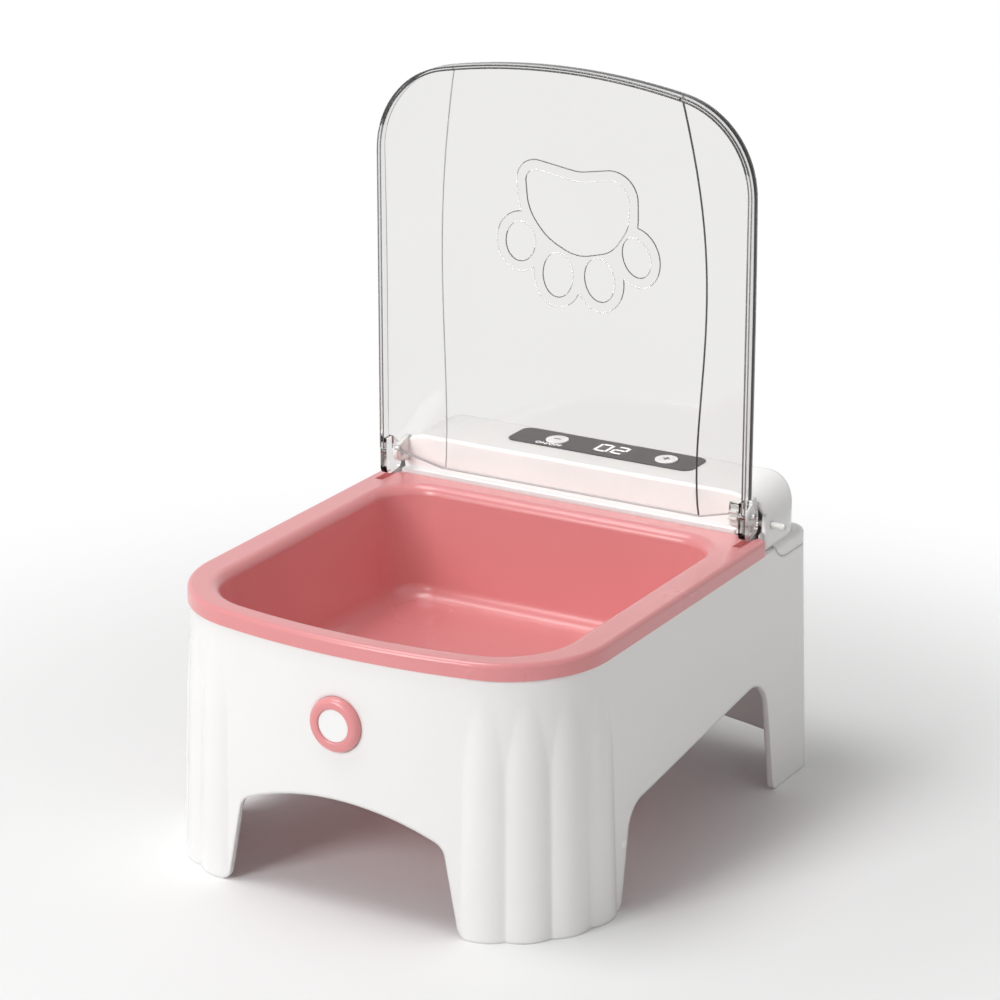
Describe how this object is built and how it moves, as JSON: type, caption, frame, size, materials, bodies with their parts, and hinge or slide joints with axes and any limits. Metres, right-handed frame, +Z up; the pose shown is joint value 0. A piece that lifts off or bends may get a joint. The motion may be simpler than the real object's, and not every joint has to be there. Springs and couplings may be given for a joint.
{
  "type": "motion sensor pet bowl",
  "caption": "Food tray in a legged stand; a front motion sensor has a geared motor lift the clear hinged lid, with a button panel and display at the rear.",
  "frame": {"origin": "middle of the footprint, on the floor that the feet stand on", "axes": "+X across the bowl to the right seen from the front, +Y from the animal's side to the rear, +Z up; the lid is stored standing open"},
  "size_m": [0.2088, 0.2508, 0.3263],
  "materials": {
    "white_shell": "satin gloss moulding",
    "pink_tray": "satin gloss moulding",
    "clear_lid": "clear polished plastic",
    "white_lens": "milky lens",
    "black_panel": "glossy film",
    "white_button": "satin",
    "white_gear": "moulded",
    "grey_works": "moulded",
    "green_board": "solder mask",
    "cable": "matt jacket",
    "battery_wrap": "shrink wrap",
    "steel": "plain"
  },
  "bodies": {
    "stand": {"base_housing": "white_shell", "battery_cell": "battery_wrap", "battery_door": "white_shell", "battery_holder": "grey_works", "bay_cover": "white_shell", "bay_screws": "steel", "board_screws": "steel", "bowl": "pink_tray", "bracket_screws": "steel", "charge_board": "green_board", "charge_socket": "steel", "control_board": "green_board", "control_panel": "black_panel", "display_module": "black_panel", "door_screw": "steel", "gear_motor": "steel", "housing_screws": "steel", "motor_bracket": "grey_works", "rear_cover": "white_shell", "sensor_board": "green_board", "sensor_cable": "cable", "sensor_clamp": "grey_works", "sensor_lens": "white_lens", "sensor_ring": "pink_tray", "tact_switches": "grey_works"},
    "lid": {"lid": "clear_lid", "lid_gear": "white_gear", "hinge_pin_left": "steel", "hinge_pin_right": "steel"},
    "idler": {"idler_gear": "white_gear", "idler_shaft": "white_gear"},
    "pinion": {"motor_pinion": "white_gear", "motor_shaft": "steel"},
    "minus_button": {"minus_button": "white_button"},
    "plus_button": {"plus_button": "white_button"}
  },
  "joints": [
    {"name": "lid_hinge", "type": "hinge", "parent": "stand", "child": "lid", "pos_m": [0, 0.0746, 0.1331], "axis": [1, 0, 0], "range_deg": [0, 90]},
    {"name": "idler_spin", "type": "hinge", "parent": "stand", "child": "idler", "pos_m": [0.086, 0.08728, 0.12607], "axis": [1, 0, 0], "range_deg": [-47.4, 0]},
    {"name": "pinion_spin", "type": "hinge", "parent": "stand", "child": "pinion", "pos_m": [0.086, 0.09996, 0.11904], "axis": [1, 0, 0], "range_deg": [0, 90.1]},
    {"name": "minus_press", "type": "slide", "parent": "stand", "child": "minus_button", "axis": [0, 0, -1], "range_m": [0, 0.0006], "stiffness_N_per_m": 1500, "springref_m": -0.0003},
    {"name": "plus_press", "type": "slide", "parent": "stand", "child": "plus_button", "axis": [0, 0, -1], "range_m": [0, 0.0006], "stiffness_N_per_m": 1500, "springref_m": -0.0003}
  ],
  "couplings": [
    {"joint": "idler_spin", "follows": "lid_hinge", "ratio": -0.52632},
    {"joint": "pinion_spin", "follows": "lid_hinge", "ratio": 1}
  ]
}
